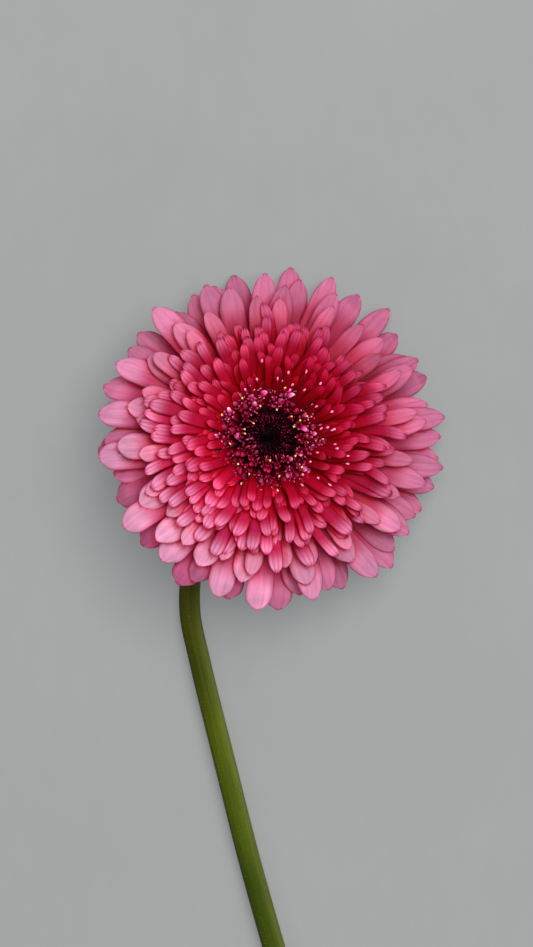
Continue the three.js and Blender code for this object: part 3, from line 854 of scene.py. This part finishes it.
def add_pollen(form, top, number, index):
    """A few clumps of grains on the end of a column."""
    for k in range(POLLEN_CLUMPS):
        place = POLLEN_CLUMPS * index + k
        shift = np.array([draw(number, place, axis) for axis in "xyz"])
        size = POLLEN_SIZE * (1 + POLLEN_SIZE_SPREAD * shift[0])
        centre = top + POLLEN_APART * shift
        add_rod(form, centre, size * UP, CLUMP, (1, 0, 0), linear(POLLEN_COLOUR), shift[1], size)


def disc_florets():
    """The ring of open florets and, apart, the pollen on some of them."""
    form = Form()
    pollen = Form()
    add_axle(form, DISC_CORE, DISC_CORE_COLOUR)
    for row, number, index in florets(OPEN_ROWS, OPEN_ROW_NUMBER):
        top = add_open_floret(form, row, number, index)
        if draw(number, index, "pick") > POLLEN_ABOVE:
            add_pollen(pollen, top, number, index)
    return form, pollen


def bowl(radius):
    """Height of the bud field, as in the part's source."""
    return BUD_BOWL["bottom"] + BUD_BOWL["depth"] * (radius / BUD_BOWL["radius"]) ** 2


def disc_buds():
    """Closed buds: slender bristles that lean in over a sunken middle."""
    form = Form()
    add_axle(form, BUD_CORE, BUD_CORE_COLOUR)
    inner, outer = BUD_FIELD
    places = [place for place, _ in BUD]
    colours = (ramp(BUD_DARK, places), ramp(BUD_TIPPED, places))
    for index in range(BUD_COUNT):
        drawn = draws(BUD_SPREADS, BUD_ROW_NUMBER, index)
        seed = drawn("seed")
        part = (index + 0.5) / BUD_COUNT
        radius = math.sqrt(inner ** 2 + (outer ** 2 - inner ** 2) * part)
        azimuth = index * GOLDEN_ANGLE
        share = radius / outer
        height = sided(BUD_HEIGHTS, share ** BUD_HEIGHT_POWER) * (1 + drawn("height"))
        lean = sided(BUD_LEANS, share) * (1 + drawn("lean"))
        foot = circle_point(radius, azimuth, bowl(radius) - BUD_ROOT_DEPTH)
        tip = circle_point(radius - lean, azimuth + drawn("azimuth"), bowl(radius) + height)
        tipped = float(rising(share + drawn("pale"), *BUD_TIPPED_FROM))
        tints = sided(colours, tipped) * (1 + BUD_UNEVEN * seed)
        level = circle_point(1, azimuth + TAU / 4, 0) + OFF_LEVEL
        stoutness = 1 + BUD_STOUTER * seed
        belly = circle_point(BUD_BELLY * share, azimuth, 0)
        add_rod(form, foot, tip - foot, BUD, level, tints, seed, stoutness, belly)
    return form


def stigmas():
    """Plump pale tips, each of two lobes on a thin style, which stand over the crest."""
    form = Form()
    colour = linear(STIGMA_COLOUR)
    least, more = STIGMA_SHARE
    places, heights, radii = np.array(STYLE).T
    for row, number, index in florets(crest_rows(), CREST_ROW_NUMBER):
        drawn = draws(STIGMA_SPREADS, number, index)
        towards = facing(azimuth_in(row, index), STIGMA_TOWARDS)
        if unsigned(drawn("pale")) > least + more * towards ** 2:
            continue
        seed = drawn("seed")
        inner = row["root"][0]
        run = (STIGMA_REACH + drawn("lean") - inner) / (row["tip"] - inner)
        blade = petal_blade(row, number, index, CREST_LOOK, places * min(run, STYLE_LONGEST))
        across = blade["across"][:, 0]
        style = blade["middle"] + blade["normal"][:, 0] * heights[:, None]
        level = across[0] + OFF_LEVEL
        add_tube(form, style, radii, STYLE_SIDES, level, linear(STYLE_COLOUR), seed)
        heading = unit(unit(style[-1] - style[-2]) + STIGMA_LIFT * seed * UP)
        for way in (-1, 1):
            apart = heading + STIGMA_APART * way * across[-1]
            add_rod(form, style[-1], apart, STIGMA, level, colour, seed, 1 + STIGMA_STOUTER * seed)
    return form


def add_bract(form, row, number, index):
    u = BRACT["along"]
    s = BRACT["across"]
    drawn = draws(BRACT["spreads"], number, index)
    seed = drawn("seed")
    azimuth = azimuth_in(row, index, drawn("azimuth"))
    root = circle_point(row["root"][0], azimuth, row["root"][1])
    way = circle_point(row["tip"][0], azimuth, row["tip"][1]) - root
    across = np.array([math.sin(azimuth), -math.cos(azimuth), 0])
    normal = unit(np.cross(way, across))
    length = np.linalg.norm(way) * (1 + drawn("tip"))
    middle = root + unit(way) * (length * u)[:, None]
    middle = middle + normal * (BRACT["belly"] * np.sin(math.pi * u))[:, None]
    swell = BRACT["root"] + (1 - BRACT["root"]) * rising(u, 0, BRACT["full"])
    past = np.maximum(0, (u - BRACT["full"]) / (1 - BRACT["full"]))
    share = swell * (1 - BRACT["narrowed"] * past ** BRACT["taper"])
    half = row["width"] / 2 * share[:, None] * s
    blade = {"middle": middle, "across": across, "normal": normal}
    shade = (1 - BRACT["dark_rim"] * s ** 2) * (1 + BRACT["uneven"] * seed)
    tint = ramp(BRACT_COLOURS, u)[:, None] * shade[:, None]
    rib_height, rib_width = BRACT["rib"]
    bow = -BRACT["hollow"] * row["width"] * s ** 2 + rib_height * bump(s, 0, rib_width)
    thick = BRACT["thick"] * (1 - BRACT["thin_rim"] * s ** 2) * (1 - BRACT["thin_tip"] * u[:, None])
    add_blade(form, blade, half, bow, thick, (tint, tint), u * length, seed)


def involucre():
    """Green cup with rows of narrow bracts."""
    form = Form()
    add_axle(form, CUP, CUP_COLOUR)
    for row, number, index in florets(BRACT_ROWS, BRACT_ROW_NUMBER):
        add_bract(form, row, number, index)
    return form


def curve_through(points, steps):
    """Points along the centripetal curve through the given ones, as the source draws it."""
    ends = (2 * points[0] - points[1], 2 * points[-1] - points[-2])
    p = np.vstack([ends[0], points, ends[1]])
    gap = np.sqrt(np.linalg.norm(np.diff(p, axis=0), axis=1))
    t = np.linspace(0, 1, steps, endpoint=False)[:, None]
    run = []
    for k in range(1, len(p) - 2):
        before, here, after = gap[k - 1], gap[k], gap[k + 1]
        step = p[k + 1] - p[k]
        leave = (p[k] - p[k - 1]) / before - (p[k + 1] - p[k - 1]) / (before + here) + step / here
        reach = step / here - (p[k + 2] - p[k]) / (here + after) + (p[k + 2] - p[k + 1]) / after
        leave, reach = leave * here, reach * here
        cubic = 2 * p[k] - 2 * p[k + 1] + leave + reach
        square = -3 * p[k] + 3 * p[k + 1] - 2 * leave - reach
        run.append(cubic * t ** 3 + square * t ** 2 + leave * t + p[k])
    run.append(p[-2:-1])
    return np.concatenate(run)


def scape_radius(run):
    places, radii = np.array(SCAPE_RADII).T
    return np.interp(run, places, radii)


def scape_route():
    """The scape's middle line at close even steps, and the length along it."""
    apothem = math.cos(math.pi / SCAPE_SOLID_SIDES)
    points = [placed([0, 0, SCAPE_TOP]), placed([0, 0, SCAPE_TOP - SCAPE_NECK])]
    run = SCAPE_NECK
    for x, y, under in SCAPE_LINE:
        place = SEAT * (1, 1, 0) + (x, y, under)
        run += np.linalg.norm(place - points[-1])
        place[2] += scape_radius(run) * apothem
        points.append(place)
    line = curve_through(np.array(points), SCAPE_CURVE_STEPS)
    return line, lengths_along(line)


def scape_rings():
    """Middle line, directions, place and radius of each ring of the scape."""
    line, length = scape_route()
    count = round(length[-1] / SCAPE_RING_STEP)
    place = np.linspace(0, length[-1], count + 1)
    middle = np.stack([np.interp(place, length, line[:, k]) for k in range(3)], axis=-1)
    tangent = unit(np.gradient(middle, axis=0))
    side = unit(np.cross(tangent, UP))
    return middle, tangent, side, np.cross(side, tangent), place, scape_radius(place)


def scape():
    """The scape, faintly ribbed, with a slanted cut that shows its pith."""
    middle, tangent, side, over, place, radius = scape_rings()
    angle = turns(SCAPE_SIDES)
    ribs = 1 + RIB_DEPTH * np.cos(RIB_COUNT * angle + RIB_TWIST * place[:, None])
    offset = ways_round(side, over, SCAPE_SIDES) * (radius[:, None] * ribs)[..., None]

    # The last stretch is drawn out or pushed back to end on the slanted cut.
    share = np.maximum(0, place - place[-1] + CUT_ZONE)[:, None] / CUT_ZONE
    slant = radius[:, None] * np.sin(angle) * math.tan(CUT_SLANT)
    points = middle[:, None] + offset + tangent[:, None] * (share * slant)[..., None]

    # Rings on the cut face, from the skin in to the sunken pith.
    rim = points[-1] - middle[-1]
    face = [middle[-1] + rim * size - tangent[-1] * depth for size, depth, _ in CUT_FACE]
    rings = np.concatenate([points, face])
    rings[..., 2] = np.maximum(rings[..., 2], 0)
    ends = [middle[0], rings[-1].mean(axis=0)]
    skin = ramp(SCAPE_COLOURS, place)[:, None] * (1 - RIB_SHADE * (1 - ribs) / RIB_DEPTH)[..., None]
    # Painted light: the side towards +X is paler and the rest darker, as if lit from that side.
    lit_side = SCAPE_LIT_SHARE * rising(-np.cos(angle), *SCAPE_LIT_FROM)
    skin = sided((skin * SCAPE_SHADE_TONE, linear(SCAPE_LIT_COLOUR)), lit_side[:, None])
    pith = [np.broadcast_to(linear(colour), (SCAPE_SIDES, 3)) for _, _, colour in CUT_FACE]
    tints = np.concatenate([skin, pith]).reshape(-1, 3)
    run = np.repeat(np.append(place, [place[-1]] * len(CUT_FACE)), SCAPE_SIDES)
    across = np.tile(angle * SCAPE_WIDTH, len(rings))
    grain = np.stack([across, run, 0 * run], axis=-1)
    form = Form()
    points = np.concatenate([rings.reshape(-1, 3), ends])
    form.add(points, tube_faces(len(rings), SCAPE_SIDES), capped(tints), capped(grain))
    return form


def hairs(look, seeded, roots, ways, turned=np.eye(3)):
    """Three-sided hairs, each a thin spike, where they stay clear of the surface."""
    ways = unit((ways + look["scatter"] * seeded.normal(size=ways.shape)) @ turned)
    tips = roots + ways * seeded.uniform(*look["lengths"], len(roots))[:, None]
    clear = tips[:, 2] > HAIR_CLEAR
    roots, ways, tips = roots[clear], ways[clear], tips[clear]
    first = unit(np.cross(ways, OFF_UP))
    rounds = ways_round(first, np.cross(ways, first), 3)
    corners = roots[:, None] + HAIR_RADIUS * rounds - HAIR_SUNK * ways[:, None]
    points = np.concatenate([corners, tips[:, None]], axis=1).reshape(-1, 3)
    start = 4 * np.arange(len(roots))[:, None]
    sides = [start + side for side in ((0, 1, 3), (1, 2, 3), (2, 0, 3), (0, 2, 1))]
    form = Form()
    form.add(points, [np.concatenate(sides)], linear(HAIR_COLOUR), (0, 0, 0))
    return form


def scape_hairs():
    middle, tangent, side, over, place, radius = scape_rings()
    count = SCAPE_HAIR["count"]
    bare = SCAPE_HAIR["bare"]
    seeded = np.random.default_rng(HAIR_SEED)
    ring = seeded.integers(bare, len(place) - bare, count)
    angle = seeded.uniform(0, TAU, count)[:, None]
    out = side[ring] * np.cos(angle) + over[ring] * np.sin(angle)
    roots = middle[ring] + out * radius[ring][:, None]
    return hairs(SCAPE_HAIR, seeded, roots, out + SCAPE_HAIR["along"] * tangent[ring])


def bract_hairs():
    count = BRACT_HAIR["count"]
    seeded = np.random.default_rng(HAIR_SEED + 1)
    share = seeded.uniform(0, 1, count)
    azimuth = seeded.uniform(0, TAU, count)
    radii, heights = np.array(CUP[:-1]).T
    height = sided((heights[0], heights[-1]), share)
    radius = np.interp(height, heights, radii) + BRACT_HAIR["out"]
    out = np.stack([np.cos(azimuth), np.sin(azimuth), 0 * azimuth], axis=-1)
    roots = placed(out * radius[:, None] + UP * height[:, None])
    return hairs(BRACT_HAIR, seeded, roots, out - BRACT_HAIR["down"] * UP, LEANING.T)


class Paint:
    """A material's nodes, made and joined in few words. Its noises lie on the mesh's grain,
    or else in space."""

    def __init__(self, name, grained=True):
        self.material = bpy.data.materials.new(name)
        self.material.use_nodes = True
        self.tree = self.material.node_tree
        self.tree.nodes.clear()
        if grained:
            self.place = self.attribute("grain", "Vector")
        else:
            self.place = self.node("NewGeometry").outputs["Position"]

    def node(self, kind, settings=(), **inputs):
        made = self.tree.nodes.new("ShaderNode" + kind)
        for name, value in dict(settings).items():
            setattr(made, name, value)
        for name, value in inputs.items():
            socket = made.inputs[name.replace("_", " ")]
            if isinstance(value, bpy.types.NodeSocket):
                self.tree.links.new(value, socket)
            else:
                socket.default_value = value
        return made

    def attribute(self, name, output):
        return self.node("Attribute", {"attribute_name": name}).outputs[output]

    def noise(self, scale, detail=3):
        """Noise over the place, which is first stretched by scale, along each axis."""
        stretched = self.node("Mapping", Vector=self.place, Scale=scale).outputs["Vector"]
        made = self.node("TexNoise", Vector=stretched, Scale=1.0, Detail=detail, Roughness=0.55)
        return made.outputs["Fac"]

    def remapped(self, value, low, high, start=0.3, end=0.7):
        made = self.node("MapRange", Value=value, From_Min=start, From_Max=end, To_Min=low, To_Max=high)
        return made.outputs["Result"]

    def product(self, first, second):
        made = self.node("Math", {"operation": "MULTIPLY"})
        self.tree.links.new(first, made.inputs[0])
        self.tree.links.new(second, made.inputs[1])
        return made.outputs[0]

    def toned(self, *shades, colour=None):
        """The mesh's colour, or the one given, made lighter and darker by each shade: a
        value, and the tones that it is remapped to."""
        value = reduce(self.product, [self.remapped(*shade) for shade in shades])
        base = colour or self.attribute("tint", "Color")
        return self.node("HueSaturation", Color=base, Value=value).outputs["Color"]

    def bumped(self, height, distance, strength=1.0):
        return self.node("Bump", Height=height, Distance=distance, Strength=strength).outputs["Normal"]

    def skin(self, colour, **settings):
        return self.node("BsdfPrincipled", Base_Color=colour, **settings).outputs["BSDF"]

    def finished(self, shader):
        self.node("OutputMaterial", Surface=shader)
        return self.material


def petal_paint(name, streak, gloss, sheen, shine):
    """Velvety petal: streaked along its veins, finely grooved, a little light through it."""
    paint = Paint(name)
    streaks = paint.noise((1.1, 0.07, 1))
    clouds = paint.noise((0.3, 0.16, 1))
    veins = paint.noise((4.5, 0.12, 1), detail=2)
    colour = paint.toned((streaks, 1 - streak, 1 + streak), (clouds, 0.89, 1.1), (veins, 0.95, 1.05))
    normal = paint.bumped(veins, 0.00012, 0.6)
    front = paint.skin(
        colour, Roughness=0.55, Normal=normal, Specular_IOR_Level=gloss, Specular_Tint=(*shine, 1),
        Sheen_Weight=sheen, Sheen_Roughness=0.4, Sheen_Tint=(*shine, 1),
    )
    glow = paint.node("Gamma", Color=colour, Gamma=1.3).outputs["Color"]
    through = paint.node("BsdfTranslucent", Color=glow, Normal=normal).outputs["BSDF"]
    mixed = paint.node("MixShader", Fac=PETAL_THROUGH)
    paint.tree.links.new(front, mixed.inputs[1])
    paint.tree.links.new(through, mixed.inputs[2])
    return paint.finished(mixed.outputs["Shader"])


def flecked_paint(name, scale, detail, tones, relief, **settings):
    """Paint whose flecks vary both its colour and its height."""
    paint = Paint(name)
    flecks = paint.noise(scale, detail)
    normal = paint.bumped(flecks, *relief)
    return paint.finished(paint.skin(paint.toned((flecks, *tones)), Normal=normal, **settings))


def disc_paint():
    """Waxy lips and tubes of the disc."""
    return flecked_paint(
        "disc", scale=(3, 1.2, 1), detail=3, tones=(0.7, 1.3), relief=(0.00008, 0.6),
        Roughness=0.5, Specular_IOR_Level=0.08,
    )


def bud_paint():
    """Dark closed buds with a satin skin."""
    return flecked_paint(
        "bud", scale=(4, 0.8, 1), detail=3, tones=(0.6, 1.4), relief=(0.00008, 0.6),
        Roughness=0.6, Specular_IOR_Level=0.04,
    )


def pollen_paint():
    """Powdery pollen."""
    return flecked_paint(
        "pollen", scale=(9, 9, 1), detail=1, tones=(0.8, 1.15), relief=(0.0001, 1), Roughness=0.8
    )


def skin_paint():
    """Living green skin of the scape: fine ribs, darker flecks and a soft gloss."""
    paint = Paint("scape_skin")
    ribs = paint.noise((2.4, 0.03, 1), detail=2)
    flecks = paint.noise((1.6, 0.5, 1), detail=4)
    clouds = paint.noise((0.15, 0.03, 1))
    return paint.finished(paint.skin(
        paint.toned((ribs, 0.82, 1.14), (flecks, 0.9, 1.08), (clouds, 0.85, 1.12)),
        Roughness=paint.remapped(flecks, 0.46, 0.6), Normal=paint.bumped(ribs, 0.00025, 0.8),
        Specular_IOR_Level=0.06,
    ))


def bract_paint():
    """Matt green bract with lengthwise nerves."""
    paint = Paint("bract")
    nerves = paint.noise((3, 0.15, 1), detail=2)
    clouds = paint.noise((0.6, 0.3, 1))
    return paint.finished(paint.skin(
        paint.toned((nerves, 0.8, 1.15), (clouds, 0.85, 1.12)), Roughness=0.6,
        Normal=paint.bumped(nerves, 0.0003, 0.8), Specular_IOR_Level=0.4,
        Sheen_Weight=0.25, Sheen_Roughness=0.5,
    ))


def hair_paint():
    """Silky pale hair."""
    paint = Paint("hair", grained=False)
    patches = paint.noise((300, 300, 300))
    return paint.finished(paint.skin(paint.toned((patches, 0.75, 1.2)), Roughness=0.45))


def floor_paint():
    """Pale plaster, softly mottled, which fades into the sky far out."""
    paint = Paint("floor", grained=False)
    clouds = paint.noise((11, 11, 11), detail=6)
    trowel = paint.noise((160, 60, 60), detail=4)
    away = paint.node("VectorMath", {"operation": "LENGTH"}, Vector=paint.place).outputs["Value"]
    shades = ((clouds, 0.945, 1.05), (trowel, 0.985, 1.015), (away, 1, 0, *FLOOR_FADE))
    return paint.finished(paint.skin(
        paint.toned(*shades, colour=(*FLOOR_COLOUR, 1)), Roughness=0.8, Specular_IOR_Level=0,
        Normal=paint.bumped(trowel, 0.0002, 0.3), Emission_Color=(*SKY_COLOUR, 1),
        Emission_Strength=paint.remapped(away, FLOOR_GLOW, SKY_STRENGTH, *FLOOR_FADE),
    ))


def linked(name, data):
    made = bpy.data.objects.new(name, data)
    bpy.context.scene.collection.objects.link(made)
    return made


def add_piece(name, form, material, slot, *nodes):
    piece = linked(name, form.mesh(name))
    piece.data.materials.append(material)
    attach(piece, "root")
    if nodes:
        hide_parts(*nodes)
    return piece


def met(tree, starts, ways, reach):
    """Which of the rays meet a petal within reach, as ones and noughts."""
    rays = zip(starts, ways)
    return np.array([tree.ray_cast(start, way, reach * MM)[0] is not None for start, way in rays], float)


def hidden_share(tree, places, normals):
    """How much each place is closed in by petals near it, or lies in the shadow that they cast from the
    lamp, from 0 to 1.
    """
    side = unit(np.cross(normals, OFF_UP))
    over = np.cross(normals, side)
    starts = (places + normals * CREVICE_CLEAR * MM).tolist()
    lamp = direction(LAMP["azimuth"], LAMP["height"]).tolist()
    hits = LAMP_WEIGHT * met(tree, starts, [lamp] * len(starts), LAMP_REACH)
    for k in range(CREVICE_RAYS):
        tilt = CREVICE_TILTS[k % len(CREVICE_TILTS)]
        turn = k * GOLDEN_ANGLE
        aside = side * math.cos(turn) + over * math.sin(turn)
        ways = (normals * math.cos(tilt) + aside * math.sin(tilt)).tolist()
        hits += met(tree, starts, ways, CREVICE_REACH)
    return hits / (CREVICE_RAYS + LAMP_WEIGHT)


def read(items, field, width):
    """One field of all the items, as rows of so many numbers."""
    values = np.empty(width * len(items))
    items.foreach_get(field, values)
    return values.reshape(-1, width)


def paint_crevice_shade(meshes):
    """Paints shade into the petals' upper sides where others close them in or cast the lamp's
    shadow on them: a deep red, as the light there has come through petals."""
    corners = []
    faces = []
    for mesh in meshes:
        start = len(corners)
        corners.extend(read(mesh.vertices, "co", 3).tolist())
        faces.extend([start + k for k in polygon.vertices] for polygon in mesh.polygons)
    tree = BVHTree.FromPolygons(corners, faces)
    for mesh in meshes:
        layer = mesh.attributes["tint"].data
        tints = read(layer, "color", 4)
        places = read(mesh.vertices, "co", 3)
        normals = read(mesh.vertex_normals, "vector", 3)
        upper = normals @ (LEANING @ UP) > 0
        share = rising(hidden_share(tree, places[upper], normals[upper]), 0, CREVICE_FULL)
        shaded_tints = tints[upper, :3] * sided((1, CREVICE_SHADE_TINT), share[:, None])
        tints[upper, :3] = np.minimum(CREVICE_BRIGHTEST, shaded_tints)
        layer.foreach_set("color", tints.ravel())


def add_floor():
    data = bpy.data.meshes.new("floor")
    half = FLOOR_HALF * MM
    corners = [(-half, -half, 0), (half, -half, 0), (half, half, 0), (-half, half, 0)]
    data.from_pydata(corners, [], [(0, 1, 2, 3)])
    data.materials.append(floor_paint())
    linked("floor", data)


def add_light():
    """Even sky, and a square soft lamp that looks at the bloom from afar."""
    world = bpy.data.worlds.new("daylight")
    world.use_nodes = True
    background = world.node_tree.nodes["Background"]
    background.inputs["Color"].default_value = (*SKY_COLOUR, 1)
    background.inputs["Strength"].default_value = SKY_STRENGTH
    bpy.context.scene.world = world
    lamp = bpy.data.lights.new("key", "AREA")
    lamp.size = LAMP["size"] * MM
    lamp.energy = LAMP["power"]
    lamp.color = LAMP["colour"]
    holder = linked("key", lamp)
    way = direction(LAMP["azimuth"], LAMP["height"])
    holder.location = Vector((SEAT + way * LAMP["distance"]) * MM)
    holder.rotation_mode = "QUATERNION"
    holder.rotation_quaternion = Vector(way).to_track_quat("Z", "Y")


def add_camera():
    """The photograph's view: it looks down on the bloom from a little towards its lean,
    at a distance where the bloom has its size in the photograph."""
    width, height = PHOTO_SIZE
    focal_px = BLOOM_RADIUS_PX / BLOOM_RADIUS * CAMERA_DISTANCE
    back = direction(LEAN_TOWARDS, math.pi / 2 - CAMERA_TILT)
    up = unit(NORTH - (NORTH @ back) * back)
    right = np.cross(-back, up)
    aside = (DISC_PIXEL[0] - width / 2) / focal_px * CAMERA_DISTANCE
    above = (height / 2 - DISC_PIXEL[1]) / focal_px * CAMERA_DISTANCE
    disc_middle = placed([0, 0, DISC_HEIGHT])
    place = disc_middle + back * CAMERA_DISTANCE - right * aside - up * above
    lens = bpy.data.cameras.new("camera")
    lens.sensor_width = SENSOR
    lens.lens = SENSOR * focal_px / max(PHOTO_SIZE)
    lens.clip_start = CAMERA_CLEAR * MM
    camera = linked("camera", lens)
    stand = np.column_stack([right, up, back, place * MM])
    camera.matrix_world = Matrix([*stand.tolist(), (0, 0, 0, 1)])
    bpy.context.scene.camera = camera


bpy.context.scene.view_settings.view_transform = "Standard"
pink = petal_paint("ray_petal", streak=0.11, gloss=0.2, sheen=0.08, shine=(1, 0.7, 0.82))
crimson = petal_paint("crest_petal", streak=0.13, gloss=0.08, sheen=0.03, shine=(1, 0.4, 0.55))
disc = disc_paint()
hair = hair_paint()
open_florets, pollen = disc_florets()
rays = add_piece("rays", ray_florets(), pink, "ray_petals", "ray_florets")
crest = add_piece("crest", crest_florets(), crimson, "crest_petals", "crest_florets")
paint_crevice_shade([rays.data, crest.data])
add_piece("open_disc", open_florets, disc, "disc_florets", "disc_florets")
add_piece("closed_disc", disc_buds(), bud_paint(), "disc_buds", "disc_buds")
add_piece("bract_cup", involucre(), bract_paint(), "involucre", "involucre")
add_piece("stalk", scape(), skin_paint(), "scape", "scape")
add_piece("pollen", pollen, pollen_paint(), "disc_florets")
add_piece("stigmas", stigmas(), disc, "crest_petals")
add_piece("stalk_hairs", scape_hairs(), hair, "scape")
add_piece("bract_hairs", bract_hairs(), hair, "involucre")
add_floor()
add_light()
add_camera()
